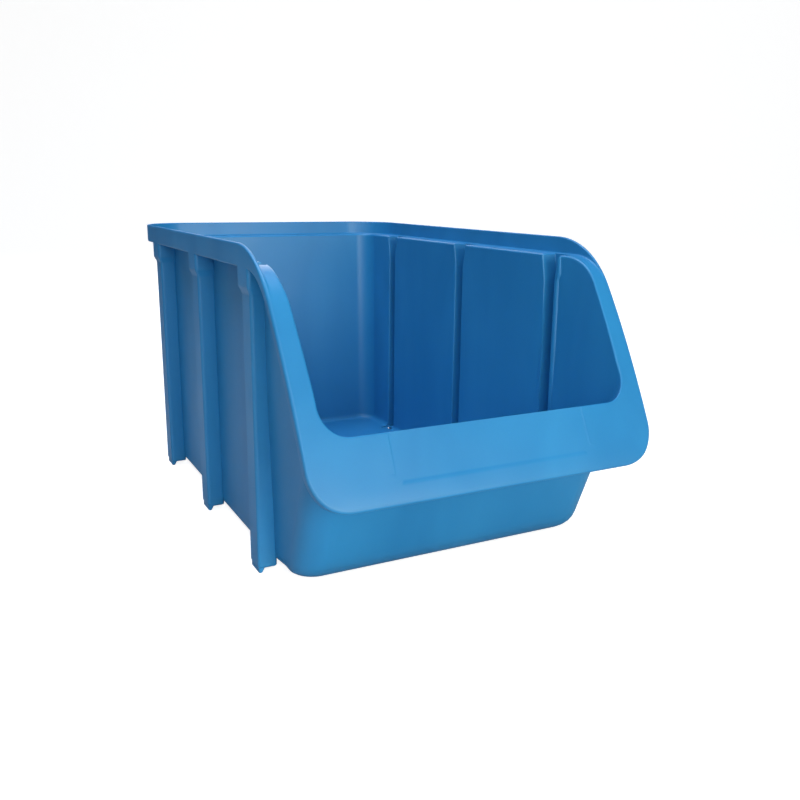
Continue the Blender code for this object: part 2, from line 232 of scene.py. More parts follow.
# The crest of the upstand, which comes down on the face where the shoulder ends.
merge_y, merge_z, merge_angle = face[FACE_STEPS]
crest_radius = (crest_z - merge_z) / (1 - cos(merge_angle))
crest_centre = Vector((merge_y + crest_radius * sin(merge_angle), crest_z - crest_radius))
# The hem of the band, which drops from the ledge's underside to the skirt's full depth.
hem_y = merge_y + SKIRT_DEPTH * sin(merge_angle)
hem_z = merge_z - SKIRT_DEPTH * cos(merge_angle)
hem_radius = (ledge_z - SHEET - hem_z) / (1 - cos(merge_angle))
hem_centre = Vector((hem_y + hem_radius * sin(merge_angle), ledge_z - SHEET - hem_radius))


def reach(y, z, angle, centre, radius, level, way):
    """Distance from a face point, square to the face, to a line that is level and then follows an arc."""
    ray = Vector((-sin(angle), cos(angle))) * way
    start = Vector((y, z))
    flat = (level - z) / ray.y
    if (start + ray * flat).x >= centre.x:
        return flat
    along = (start - centre).dot(ray)
    inside = along * along - (start - centre).length_squared + radius * radius
    return -along + way * sqrt(max(0.0, inside))


def rise_and_drop(y, z, angle):
    """The upstand's height over the face and the skirt's depth under it."""
    if angle >= merge_angle:
        return 0.0, SKIRT_DEPTH
    rise = reach(y, z, angle, crest_centre, crest_radius, crest_z, 1)
    drop = reach(y, z, angle, hem_centre, hem_radius, ledge_z - SHEET, -1)
    return max(0.0, rise), max(SHEET, drop)


# ---- The shell's stations -------------------------------------------------------------------------
# A station is where one section is taken: its line across the ledge or the face, and the wall's foot.

def rim_half(y, z):
    """The outside half-width of the rim or the flange."""
    fall = max(0.0, ledge_z - z) / (ledge_z - lip_low_z)
    return RIM_HALF - narrowing(y) - FLANGE_DRAFT * fall


def mouth_flare(share):
    """How far the mouth's side edge stands out at a share of the way down the arm."""
    return MOUTH_FLARE * sin(pi * mix(FLARE_BEGUN, 1.0, share) ** FLARE_SKEW)


def plan_corner(half, end_y, radius, turn, sign):
    """A point on a rounded plan corner and its outward direction. Turn runs from the side to the end."""
    out = Vector((cos(turn), sign * sin(turn), 0.0))
    centre = Vector((half - radius, end_y - sign * radius, 0.0))
    return centre + out * radius, out


def station(top_in, top_out, foot, out, on_face=False, fillet=SIDE_FILLET, floor_edge=None):
    """One section's driving points. Its top runs from top_in to top_out, level or down the face."""
    path = []
    for i in range(PATH_STEPS + 1):
        point = mix(top_in, top_out, i / PATH_STEPS)
        angle = 0.0
        if on_face:
            y, angle = face_at(point.z)
            point = Vector((point.x, y, point.z))
        path.append((point, slope_normal(angle)))
    edge_y, edge_angle = face_at(top_out.z) if on_face else (top_out.y, 0.0)
    rise, drop = rise_and_drop(edge_y, top_out.z, edge_angle)
    return {
        "path": path,
        "rise": rise,
        "drop": drop,
        "foot": foot,
        "out": out,
        "fillet": fillet,
        "floor_edge": floor_edge or foot - out * fillet,
    }


# The wall's inner face in plan, and where the rim and the lip turn
inner_half = WALL_HALF - WALL
inner_rear = REAR_TOP_Y - WALL
inner_corner = REAR_CORNER - WALL
foot_rear = REAR_BASE_Y - WALL
foot_front = FRONT_BASE_Y + WALL
foot_half = inner_half - narrowing(foot_front)
side_rear = rear_out_y - RIM_CORNER
rear_drawn = narrowing(side_rear)
corner_top = mouth_z + MOUTH_CORNER
low_half = rim_half(lip_y, lip_low_z + LIP_CORNER)


def rear_stations():
    """Along half of the rear wall, from its middle."""
    out_x = RIM_HALF - rear_drawn - RIM_CORNER
    in_x = inner_half - rear_drawn - inner_corner
    rows = []
    for i in range(REAR_STATIONS):
        share = i / REAR_STATIONS
        top_in = Vector((in_x * share, inner_rear, ledge_z))
        top_out = Vector((out_x * share, rear_out_y, ledge_z))
        rows.append(station(top_in, top_out, Vector((in_x * share, foot_rear, 0.0)), REARWARD))
    return rows


def rear_corner_stations():
    """Round the rear corner, where the rim turns wider than the wall."""
    rows = []
    for turn in reversed(quarter_turns(REAR_CORNER_STEPS)):
        outer, out = plan_corner(RIM_HALF - rear_drawn, rear_out_y, RIM_CORNER, turn, 1)
        inner, _ = plan_corner(inner_half - rear_drawn, inner_rear, inner_corner, turn, 1)
        foot, _ = plan_corner(inner_half - rear_drawn, foot_rear, inner_corner, turn, 1)
        rows.append(station(inner + UP * ledge_z, outer + UP * ledge_z, foot, out))
    return rows


def side_stations():
    """Along the side, closer together from just behind where the crest starts to come down."""
    inner_side_rear = inner_rear - inner_corner
    foot_side_rear = foot_rear - inner_corner
    crest_share = (side_rear - crest_centre.x - CREST_LEAD) / (side_rear - shoulder_y)
    shares = [crest_share * i / SIDE_STATIONS for i in range(1, SIDE_STATIONS + 1)]
    shares += [mix(crest_share, 1.0, i / CREST_STATIONS) for i in range(1, CREST_STATIONS + 1)]
    rows = []
    for share in shares:
        outer_y = mix(side_rear, shoulder_y, share)
        inner_y = mix(inner_side_rear, shoulder_y, share)
        foot_y = mix(foot_side_rear, FOOT_SPLIT_Y, share)
        begun = min(1.0, max(0.0, (shoulder_y + FLARE_RUN - inner_y) / FLARE_RUN))
        inner_x = inner_half - narrowing(inner_y) + mouth_flare(0.0) * begun**2
        top_in = Vector((inner_x, inner_y, ledge_z))
        top_out = Vector((rim_half(outer_y, ledge_z), outer_y, ledge_z))
        foot = Vector((inner_half - narrowing(foot_y), foot_y, 0.0))
        rows.append(station(top_in, top_out, foot, SIDEWAYS))
    return rows


def arm_stations():
    """Down the shoulder and the arm, to where the mouth's lower corner starts."""
    lowest = int(np.argmax(face[:, 1] < corner_top))
    picks = range(ARM_STRIDE, lowest, ARM_STRIDE)
    foot_corner_y = foot_front + FRONT_FILLET + FLOOR_CORNER
    rows = []
    for i, pick in enumerate(picks, 1):
        y, z, _ = face[pick]
        share = i / len(picks)
        inner_x = mix(inner_half - narrowing(y), MOUTH_HALF, share) + mouth_flare(share)
        foot_y = mix(FOOT_SPLIT_Y, foot_corner_y, i / (len(picks) + 1))
        rows.append(
            station(
                Vector((inner_x, y, z)),
                Vector((rim_half(y, z), y, z)),
                Vector((inner_half - narrowing(foot_y), foot_y, 0.0)),
                SIDEWAYS,
                on_face=True,
                fillet=mix(SIDE_FILLET, CORNER_FILLET, share**2),
            )
        )
    return rows


def mouth_corner_stations():
    """Round the lower corner: the mouth turns at once, the outside comes down first and turns wider."""
    straight = corner_top - (lip_low_z + LIP_CORNER)
    bend = LIP_CORNER * pi / 2
    rows = []
    for i in range(MOUTH_CORNER_STEPS + 1):
        share = i / MOUTH_CORNER_STEPS
        turn = share * pi / 2
        inner_x = MOUTH_HALF - MOUTH_CORNER * (1 - cos(turn))
        inner_z = corner_top - MOUTH_CORNER * sin(turn)
        gone = share * (straight + bend)
        if gone < straight:
            outer_z = corner_top - gone
            outer_x = rim_half(face_at(outer_z)[0], outer_z)
        else:
            outer_turn = (gone - straight) / LIP_CORNER
            outer_z = lip_low_z + LIP_CORNER * (1 - sin(outer_turn))
            outer_x = low_half - LIP_CORNER * (1 - cos(outer_turn))
        foot, out = plan_corner(foot_half, foot_front, FRONT_CORNER - WALL, turn, -1)
        floor_half = foot_half - CORNER_FILLET
        floor_edge, _ = plan_corner(floor_half, foot_front + FRONT_FILLET, FLOOR_CORNER, turn, -1)
        rows.append(
            station(
                Vector((inner_x, 0.0, inner_z)),
                Vector((outer_x, 0.0, outer_z)),
                foot,
                out,
                on_face=True,
                fillet=mix(CORNER_FILLET, FRONT_FILLET, share),
                floor_edge=floor_edge,
            )
        )
    return rows


def lip_stations():
    """Along half of the lip, to its middle."""
    mouth_x = MOUTH_HALF - MOUTH_CORNER
    lip_x = low_half - LIP_CORNER
    foot_x = foot_half - FRONT_CORNER + WALL
    rows = []
    for i in range(1, LIP_STATIONS + 1):
        share = 1 - i / LIP_STATIONS
        rows.append(
            station(
                Vector((mouth_x * share, 0.0, mouth_z)),
                Vector((lip_x * share, 0.0, lip_low_z)),
                Vector((foot_x * share, foot_front, 0.0)),
                FORWARD,
                on_face=True,
                fillet=FRONT_FILLET,
            )
        )
    return rows


def half_stations():
    """Stations from the middle of the rear, round the right side, to the middle of the lip."""
    rear = rear_stations() + rear_corner_stations()
    front = mouth_corner_stations() + lip_stations()
    return rear + side_stations() + arm_stations() + front


# ---- One section through the shell ----------------------------------------------------------------

def bend_points(corner, arm_a, arm_b, steps):
    """A rounded turn at a corner, leaving along arm_a and ending along arm_b."""
    start, end = corner + arm_a, corner + arm_b
    points = []
    for i in range(steps + 1):
        t = i / steps
        points.append(start * (1 - t) ** 2 + corner * (2 * t * (1 - t)) + end * t**2)
    return points


class Face:
    """The ledge or flange face across one station, measured inwards from its outer edge."""

    def __init__(self, path):
        self.points = np.array([list(p) for p, _ in path])[::-1]
        self.normals = np.array([list(n) for _, n in path])[::-1]
        steps = np.linalg.norm(np.diff(self.points, axis=0), axis=1)
        self.run = np.concatenate([[0.0], np.cumsum(steps)])
        self.width = self.run[-1]

    def at(self, inward, lift=0.0):
        """The point so far inwards along the face, lifted square to it."""
        point = Vector([np.interp(inward, self.run, self.points[:, i]) for i in range(3)])
        normal = Vector([np.interp(inward, self.run, self.normals[:, i]) for i in range(3)]).normalized()
        return point + normal * lift


def edge_pairs(rise, drop):
    """The rim's edge as (inward, lift) pairs: ledge fillet, crest, outer face, and hem of the skirt.

    On the arms the upstand has died away, so the crest shrinks to one rounded edge.
    """
    whole = min(1.0, rise / FULL_RISE)
    ledge_rise = min(LEDGE_FILLET, rise / 2)
    crest_in = min(CREST_ROUND, rise / 2)
    crest_width = mix(EDGE_FLAT, CREST_ROUND, whole)
    crest_out = mix(EDGE_ROUND, CREST_OUT_ROUND, whole)
    hem_in = min(HEM_ROUND, max(LEAST_HEM, (drop - SHEET) / 2))
    pairs = []
    for turn in quarter_turns(4):
        pairs.append((LEDGE_END - LEDGE_FILLET * sin(turn), ledge_rise * (1 - cos(turn))))
    for turn in quarter_turns(4):
        pairs.append((UPSTAND - crest_width * (1 - cos(turn)), rise - crest_in * (1 - sin(turn))))
    for turn in quarter_turns(5):
        pairs.append((crest_out * (1 - sin(turn)), rise - crest_out * (1 - cos(turn))))
    pairs.append((0.0, mix(rise - crest_out, HEM_ROUND * 2 - drop, 0.5)))
    for turn in quarter_turns(4):
        pairs.append((HEM_OUT_ROUND * (1 - cos(turn)), HEM_OUT_ROUND * (1 - sin(turn)) - drop))
    for turn in quarter_turns(4)[1:]:
        pairs.append((SKIRT_END - HEM_ROUND * (1 - sin(turn)), hem_in * (1 - cos(turn)) - drop))
    pairs.append((SKIRT_ROOT, -SHEET))
    return pairs


def section(row):
    """The closed outline of the shell at one station, from the inner floor round to the underside."""
    line = Face(row["path"])
    top = line.at(line.width)
    foot = row["foot"] + UP * (base_z + FLOOR)
    down = (foot - top).normalized()
    across = (line.at(line.width - FACE_PROBE) - top).normalized()
    fillet = row["fillet"]
    # Floor fillet, the wall's inner face, the mouth's rounded edge and the ledge.
    points = bend_points(foot, row["floor_edge"] - row["foot"], -down * fillet, FILLET_STEPS)
    mouth_start = top + down * MOUTH_ROUND
    points += [mix(points[-1], mouth_start, i / WALL_STEPS) for i in range(1, WALL_STEPS)]
    points += bend_points(top, down * MOUTH_ROUND, across * MOUTH_ROUND, MOUTH_STEPS)
    for i in range(1, LEDGE_STEPS):
        points.append(line.at(mix(line.width - MOUTH_ROUND, LEDGE_END, i / LEDGE_STEPS)))
    points += [line.at(inward, lift) for inward, lift in edge_pairs(row["rise"], row["drop"])]
    # Back of the sheet to the crotch with the wall, then down the outside and under the base.
    between = acos(max(-1.0, min(1.0, across.dot(down))))
    crotch = top + (across * WALL + down * SHEET) / sin(between)
    crotch_in = line.width - (crotch - top).dot(across)
    for i in range(1, BACK_STEPS):
        points.append(line.at(mix(SKIRT_ROOT, crotch_in, i / BACK_STEPS), -SHEET))
    points.append(crotch)
    outer_foot = row["foot"] + row["out"] * WALL + UP * base_z
    rising = (crotch - outer_foot).normalized()
    outer_fillet = fillet + OUTER_EXTRA
    climb = outer_foot + rising * outer_fillet
    points += [mix(crotch, climb, i / WALL_STEPS) for i in range(1, WALL_STEPS)]
    floor_edge = row["floor_edge"] + UP * base_z
    points += bend_points(outer_foot, rising * outer_fillet, floor_edge - outer_foot, FILLET_STEPS)
    return points


# ---- Meshes ---------------------------------------------------------------------------------------

def new_object(name, data):
    """An object in the scene that shows a mesh, a light or a camera."""
    obj = bpy.data.objects.new(name, data)
    bpy.context.scene.collection.objects.link(obj)
    return obj


def loft_mesh(name, sections, ring):
    """A closed mesh through matching sections. A ring joins its last section to its first."""
    work = bmesh.new()
    rows = [[work.verts.new(point) for point in row] for row in sections]
    count = len(rows)
    size = len(rows[0])
    for i in range(count if ring else count - 1):
        here, there = rows[i], rows[(i + 1) % count]
        for j in range(size - 1 if ring else size):
            work.faces.new((here[j], here[(j + 1) % size], there[(j + 1) % size], there[j]))
    if ring:
        work.faces.new([row[0] for row in rows])
        work.faces.new([row[-1] for row in rows])
    else:
        work.faces.new(rows[0])
        work.faces.new(rows[-1])
    bmesh.ops.remove_doubles(work, verts=work.verts, dist=MERGE_WITHIN)
    bmesh.ops.recalc_face_normals(work, faces=work.faces)
    mesh = bpy.data.meshes.new(name)
    work.to_mesh(mesh)
    work.free()
    return mesh


def shell_mesh():
    """The whole shell: the right half's sections, then their mirror images back to the rear."""
    sections = [section(row) for row in half_stations()]
    mirrored = [[Vector((-p.x, p.y, p.z)) for p in points] for points in sections[1:-1]]
    return loft_mesh("shell", sections + list(reversed(mirrored)), ring=True)


# ---- Hollow ribs, their pockets and the label recess ----------------------------------------------

RIBS_A_SIDE = 3
HEAD_FLARE = 0.0014
HEAD_OUT = 0.0016
HEAD_LOW_Z = 0.1510
HEAD_STEP_Z = 0.1560
HEAD_STEPS = 6
RIB_WALL = 0.0020
RIB_SIDE = 0.0028
RIB_ROUND = 0.0018
RIB_FLOOR_Z = 0.0026
RIB_WAIST_Z = 0.0600
TOOTH_WIDTH = 0.0021
TOOTH_SPREAD = 0.0022
TOOTH_SETBACK = 0.0005
TOOTH_BEVEL = 0.0004
TOOTH_CORNER = 0.0006
POCKET_HEAD_Z = 0.1500
POCKET_FLARE = 0.0026
POCKET_FLARE_CURVE = 1.3
POCKET_ROUND = 0.0008
POCKET_CORNER = 0.0015
POCKET_EASE_SIDE = 0.0003
POCKET_EASE_DEPTH = 0.0002
POCKET_LEAD = 0.0001
# How far the pocket's cutter stands out into the bin, and over the crest
CUTTER_INTO_BIN = 0.0080
CUTTER_OVER_CREST = 0.0040
rib_front_y = rib_low.y + HEAD_FLARE
rib_rear_y = rib_high.y - HEAD_FLARE
rib_face_x = rib_high.x - HEAD_OUT
rib_pitch = Vector((next_rib_high.x - rib_high.x, next_rib_low.y - rib_low.y, 0.0))


def rounded_plan(x0, x1, y0, y1, radius, z, steps=5):
    """A rounded rectangle in plan, anticlockwise from its far right corner."""
    corners = (
        (x1, y1, 1, 1, 0.0),
        (x0, y1, -1, 1, pi / 2),
        (x0, y0, -1, -1, pi),
        (x1, y0, 1, -1, 3 * pi / 2),
    )
    points = []
    for x, y, sx, sy, start in corners:
        for turn in quarter_turns(steps):
            across = radius * cos(start + turn)
            along = radius * sin(start + turn)
            points.append((x - sx * radius + across, y - sy * radius + along, z))
    return points


def rounded_end(low_z, radius, steps=4):
    """Heights and insets that round off the lower end of an upright block."""
    return [(low_z + radius * (1 - cos(turn)), radius * (1 - sin(turn))) for turn in quarter_turns(steps)]


def rib_mesh():
    """The outside of the right rear rib: a rounded post with a head that flares out under the rim."""
    inner_x = WALL_HALF - WALL / 2 - narrowing(rib_rear_y)
    levels = [(z, inset, 0.0) for z, inset in rounded_end(RIB_FLOOR_Z, RIB_ROUND)]
    levels.append((RIB_WAIST_Z, 0.0, 0.0))
    for i in range(HEAD_STEPS + 1):
        share = i / HEAD_STEPS
        levels.append((mix(HEAD_LOW_Z, HEAD_STEP_Z, share), 0.0, (1 - cos(pi * share)) / 2))
    levels.append((ledge_z - SHEET / 2, 0.0, 1.0))
    rows = []
    for z, inset, head in levels:
        flare = HEAD_FLARE * head
        rows.append(
            rounded_plan(
                inner_x,
                rib_face_x + HEAD_OUT * head - inset,
                rib_front_y - flare + inset,
                rib_rear_y + flare - inset,
                RIB_ROUND,
                z,
            )
        )
    return loft_mesh("rib", rows, ring=False)


def tooth_mesh():
    """The tooth that stands on the ledge of the bin below."""
    face_x = rib_face_x - TOOTH_SETBACK
    levels = (
        (0.0, TOOTH_BEVEL, 0.0),
        (TOOTH_BEVEL, 0.0, 0.0),
        (RIB_FLOOR_Z + RIB_ROUND, 0.0, TOOTH_SPREAD),
    )
    rows = []
    for z, shrink, spread in levels:
        rows.append(
            rounded_plan(
                face_x - TOOTH_WIDTH + shrink - spread,
                face_x - shrink,
                rib_front_y + RIB_ROUND / 2 + shrink,
                rib_rear_y - RIB_ROUND / 2 - shrink,
                TOOTH_CORNER,
                z,
            )
        )
    return loft_mesh("tooth", rows, ring=False)


def pocket_outline(grow, x):
    """The pocket seen from inside the bin, widened by grow, at one depth into the wall."""
    half = (rib_rear_y - rib_front_y) / 2 - RIB_SIDE + grow
    middle = (rib_rear_y + rib_front_y) / 2
    head_half = half + POCKET_FLARE
    floor = RIB_FLOOR_Z + RIB_WALL - grow
    side = []
    for turn in quarter_turns(4):
        side.append((half - POCKET_CORNER * (1 - sin(turn)), floor + POCKET_CORNER * (1 - cos(turn))))
    for i in range(HEAD_STEPS + 1):
        share = i / HEAD_STEPS
        wide = mix(half, head_half, share**POCKET_FLARE_CURVE)
        side.append((wide, mix(POCKET_HEAD_Z, ledge_z - 2 * POCKET_ROUND, share)))
    for turn in quarter_turns(4):
        side.append((head_half + POCKET_ROUND * (1 - cos(turn)), ledge_z - POCKET_ROUND * (1 - sin(turn))))
    side.append((head_half + POCKET_ROUND, crest_z + CUTTER_OVER_CREST))
    left = [(middle - y, z) for y, z in reversed(side)]
    return [(x, middle + y, z) for y, z in side] + [(x, y, z) for y, z in left]


def pocket_mesh():
    """What is hollow in the right rear rib, flared where it breaks through the wall's inner face."""
    deep_x = rib_face_x - RIB_WALL
    wall_x = WALL_HALF - WALL - narrowing((rib_front_y + rib_rear_y) / 2)
    rows = [pocket_outline(POCKET_ROUND, wall_x - proud) for proud in (CUTTER_INTO_BIN, POCKET_LEAD)]
    for turn in quarter_turns(4)[1:]:
        grow = POCKET_ROUND * (1 - sin(turn))
        rows.append(pocket_outline(grow, wall_x + POCKET_ROUND * (1 - cos(turn))))
    rows.append(pocket_outline(0.0, deep_x - POCKET_ROUND))
    rows.append(pocket_outline(-POCKET_EASE_SIDE, deep_x - POCKET_EASE_DEPTH))
    rows.append(pocket_outline(-POCKET_ROUND, deep_x))
    return loft_mesh("pocket", rows, ring=False)


LABEL_HALF = 0.0580
LABEL_LOW_Z = 0.0705
LABEL_TOP_Z = 0.0960
LABEL_DEPTH = 0.0003
LABEL_SOFT = 0.0012
LABEL_ROUND = 0.0040
LABEL_CUTTER = 0.0030


def label_mesh():
    """A curved block that follows the lip's face and sinks the label recess into it."""
    rows = []
    for lift, shrink in ((-LABEL_DEPTH, LABEL_SOFT), (0.0, 0.0), (LABEL_CUTTER, 0.0)):
        outline = rounded_plan(
            -LABEL_HALF + shrink,
            LABEL_HALF - shrink,
            LABEL_LOW_Z + shrink,
            LABEL_TOP_Z - shrink,
            LABEL_ROUND,
            0.0,
        )
        row = []
        for x, z, _ in outline:
            y, angle = face_at(z)
            row.append(Vector((x, y, z)) + slope_normal(angle) * lift)
        rows.append(row)
    return loft_mesh("label", rows, ring=False)


# ---- Geometry Nodes: one rib made into two rows of three ------------------------------------------

def add(tree, kind, links=(), **settings):
    """Adds a node with its settings and its input values or links, given as (socket, value or socket)."""
    node = tree.nodes.new(kind)
    for name, value in settings.items():
        setattr(node, name, value)
    for socket, value in links:
        target = node.inputs[socket]
        if isinstance(value, bpy.types.NodeSocket):
            tree.links.new(value, target)
        else:
            target.default_value = value
    return node


def rib_rows_tree():
    """Copies one right-hand piece along its wall at the rib pitch, and mirrors the row to the left."""
    tree = bpy.data.node_groups.new("rib_rows", "GeometryNodeTree")
    tree.interface.new_socket("Geometry", in_out="INPUT", socket_type="NodeSocketGeometry")
    tree.interface.new_socket("Count", in_out="INPUT", socket_type="NodeSocketInt")
    tree.interface.new_socket("Pitch", in_out="INPUT", socket_type="NodeSocketVector")
    tree.interface.new_socket("Material", in_out="INPUT", socket_type="NodeSocketMaterial")
    tree.interface.new_socket("Geometry", in_out="OUTPUT", socket_type="NodeSocketGeometry")
    given = add(tree, "NodeGroupInput").outputs
    line = add(
        tree,
        "GeometryNodeMeshLine",
        [("Count", given["Count"]), ("Offset", given["Pitch"])],
        mode="OFFSET",
    )
    row = add(
        tree,
        "GeometryNodeInstanceOnPoints",
        [("Points", line.outputs["Mesh"]), ("Instance", given["Geometry"])],
    )
    real = add(tree, "GeometryNodeRealizeInstances", [("Geometry", row.outputs["Instances"])])
    other = add(
        tree,
        "GeometryNodeTransform",
        [("Geometry", real.outputs["Geometry"]), ("Scale", (-1.0, 1.0, 1.0))],
    )
    both = add(tree, "GeometryNodeJoinGeometry")
    tree.links.new(real.outputs["Geometry"], both.inputs["Geometry"])
    tree.links.new(other.outputs["Geometry"], both.inputs["Geometry"])
    whole = add(tree, "GeometryNodeRealizeInstances", [("Geometry", both.outputs["Geometry"])])
    finish = add(
        tree,
        "GeometryNodeSetMaterial",
        [("Geometry", whole.outputs["Geometry"]), ("Material", given["Material"])],
    )
    add(tree, "NodeGroupOutput", [("Geometry", finish.outputs["Geometry"])])
    return tree


def plain_mesh(obj, name):
    """The object's shape with its modifiers applied, as a plain mesh."""
    bpy.context.view_layer.update()
    graph = bpy.context.evaluated_depsgraph_get()
    mesh = bpy.data.meshes.new_from_object(obj.evaluated_get(graph))
    mesh.name = name
    return mesh


def in_rows(name, mesh, tree, material):
    """An object with the piece at all six ribs, every copy facing outwards."""
    obj = new_object(name, mesh)
    modifier = obj.modifiers.new("rows", "NODES")
    modifier.node_group = tree
    values = {"Count": RIBS_A_SIDE, "Pitch": rib_pitch, "Material": material}
    for item in tree.interface.items_tree:
        if item.in_out == "INPUT" and item.name in values:
            modifier[item.identifier] = values[item.name]
    made = plain_mesh(obj, name)
    obj.modifiers.clear()
    work = bmesh.new()
    work.from_mesh(made)
    bmesh.ops.recalc_face_normals(work, faces=work.faces)
    work.to_mesh(made)
    work.free()
    obj.data = made
    return obj


def combine(base, other, operation):
    """Joins or cuts with an exact Boolean, keeps the result and drops the tool."""
    modifier = base.modifiers.new(operation.lower(), "BOOLEAN")
    modifier.operation = operation
    modifier.solver = "EXACT"
    modifier.object = other
    mesh = plain_mesh(base, base.name)
    base.modifiers.clear()
    base.data = mesh
    bpy.data.objects.remove(other)


# ---- Moulded polypropylene ------------------------------------------------------------------------

def linear(code):
    """An sRGB hex colour as linear RGBA."""
    channels = [int(code[i : i + 2], 16) / 255 for i in (1, 3, 5)]
    return tuple(c / 12.92 if c <= 0.04045 else ((c + 0.055) / 1.055) ** 2.4 for c in channels) + (1.0,)


def mm(size):
    """The noise scale whose features are about this many millimetres across."""
    return 1.0 / (size / 1000.0)


def ramp_stops(node, stops):
    """Sets a colour ramp's stops from (position, colour) pairs."""
    for element, (position, colour) in zip(node.color_ramp.elements, stops):
        element.position = position
        element.color = colour


def moulded_polypropylene():
    """Polypropylene, injection moulded against a finely spark-eroded tool: a satin blue skin.

    The eye gets a soft wide highlight broken by a fine grain, faint cloudy flow marks in the colour
    where the melt ran up the walls, and a slow waviness in what the broad walls reflect.
    """
    material = bpy.data.materials.new("moulded_polypropylene_blue")
    material.use_nodes = True
    tree = material.node_tree
    shader = tree.nodes["Principled BSDF"]
    place = add(tree, "ShaderNodeTexCoord").outputs["Object"]
    # Flow marks: clouds some 60 mm across, drawn out to about 170 mm up the wall.
    stretched = add(tree, "ShaderNodeMapping", [("Vector", place), ("Scale", (1.0, 1.0, 0.35))])
    flow = add(
        tree,
        "ShaderNodeTexNoise",
        [
            ("Vector", stretched.outputs["Vector"]),
            ("Scale", mm(60.0)),
            ("Detail", 3.0),
            ("Distortion", 0.8),
        ],
    )
    tint = add(tree, "ShaderNodeValToRGB", [("Fac", flow.outputs["Fac"])])
    ramp_stops(tint, ((0.25, linear("#1E77AF")), (0.75, linear("#2B86BD"))))
    # Pigment specks, 1.5 mm across, that barely differ from the rest.
    specks = add(tree, "ShaderNodeTexNoise", [("Vector", place), ("Scale", mm(1.5)), ("Detail", 2.0)])
    speckled = add(
        tree,
        "ShaderNodeMix",
        [("Factor", 0.05), (6, tint.outputs["Color"]), (7, specks.outputs["Color"])],
        data_type="RGBA",
        blend_type="SOFT_LIGHT",
    )
    tree.links.new(speckled.outputs[2], shader.inputs["Base Color"])
    # The tool's spark-eroded grain is about 0.2 mm, drawn at 0.8 mm so that it shows.
    grain = add(tree, "ShaderNodeTexNoise", [("Vector", place), ("Scale", mm(0.8)), ("Detail", 2.0)])
    # Sink: the walls shrink unevenly as they cool, in waves about 35 mm across.
    sink = add(tree, "ShaderNodeTexNoise", [("Vector", place), ("Scale", mm(35.0)), ("Detail", 1.0)])
    wave = add(
        tree,
        "ShaderNodeBump",
        [("Strength", 0.30), ("Distance", 0.0015), ("Height", sink.outputs["Fac"])],
    )
    skin = add(
        tree,
        "ShaderNodeBump",
        [
            ("Strength", 0.12),
            ("Distance", 0.00006),
            ("Height", grain.outputs["Fac"]),
            ("Normal", wave.outputs["Normal"]),
        ],
    )
    tree.links.new(skin.outputs["Normal"], shader.inputs["Normal"])
    # Gloss: satin, a little duller in patches where the skin cooled last.
    dull = add(
        tree,
        "ShaderNodeMapRange",
        [("Value", sink.outputs["Fac"]), ("To Min", 0.38), ("To Max", 0.50)],
    )
    tree.links.new(dull.outputs["Result"], shader.inputs["Roughness"])
    shader.inputs["IOR"].default_value = 1.49
    shader.inputs["Specular IOR Level"].default_value = 0.5
    return material


def smooth_shading(obj):
    """Smooth faces with hard creases, and normals weighted so that flat walls stay flat."""
    obj.data.shade_smooth()
    obj.data.set_sharp_from_angle(angle=CREASE)
    weighted = obj.modifiers.new("flat_walls", "WEIGHTED_NORMAL")
    weighted.keep_sharp = True
    weighted.weight = 80


# ---- The bin --------------------------------------------------------------------------------------

polypropylene = moulded_polypropylene()
rows = rib_rows_tree()
bin_shell = new_object("bin_shell", shell_mesh())
bin_shell.data.materials.append(polypropylene)
combine(bin_shell, in_rows("ribs", rib_mesh(), rows, polypropylene), "UNION")
combine(bin_shell, in_rows("teeth", tooth_mesh(), rows, polypropylene), "UNION")
combine(bin_shell, in_rows("pockets", pocket_mesh(), rows, polypropylene), "DIFFERENCE")
label = new_object("label_recess", label_mesh())
label.data.materials.append(polypropylene)
combine(bin_shell, label, "DIFFERENCE")
bin_shell.data.materials.clear()
bin_shell.data.materials.append(polypropylene)
smooth_shading(bin_shell)
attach(bin_shell, "root")
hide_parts(*sorted(frame["nodes"]))


# ---- Studio ---------------------------------------------------------------------------------------

CAMERA_PLACE = Vector((-0.2320, -0.5039, 0.2038))
CAMERA_YAW = radians(27.77)
CAMERA_PITCH = radians(13.93)
CAMERA_ROLL = radians(0.63)
CAMERA_LENS = 38.14

BIN_MIDDLE = (0.0, -0.03, 0.08)
SWEEP_FRONT = -3.0
SWEEP_START = 1.6
SWEEP_RADIUS = 1.2
SWEEP_HEIGHT = 5.0
SWEEP_HALF = 6.0
SWEEP_STEPS = 24
SWEEP_GLOW = 0.88
FILL_LEFT = 0.05
FILL_RIGHT = 0.10


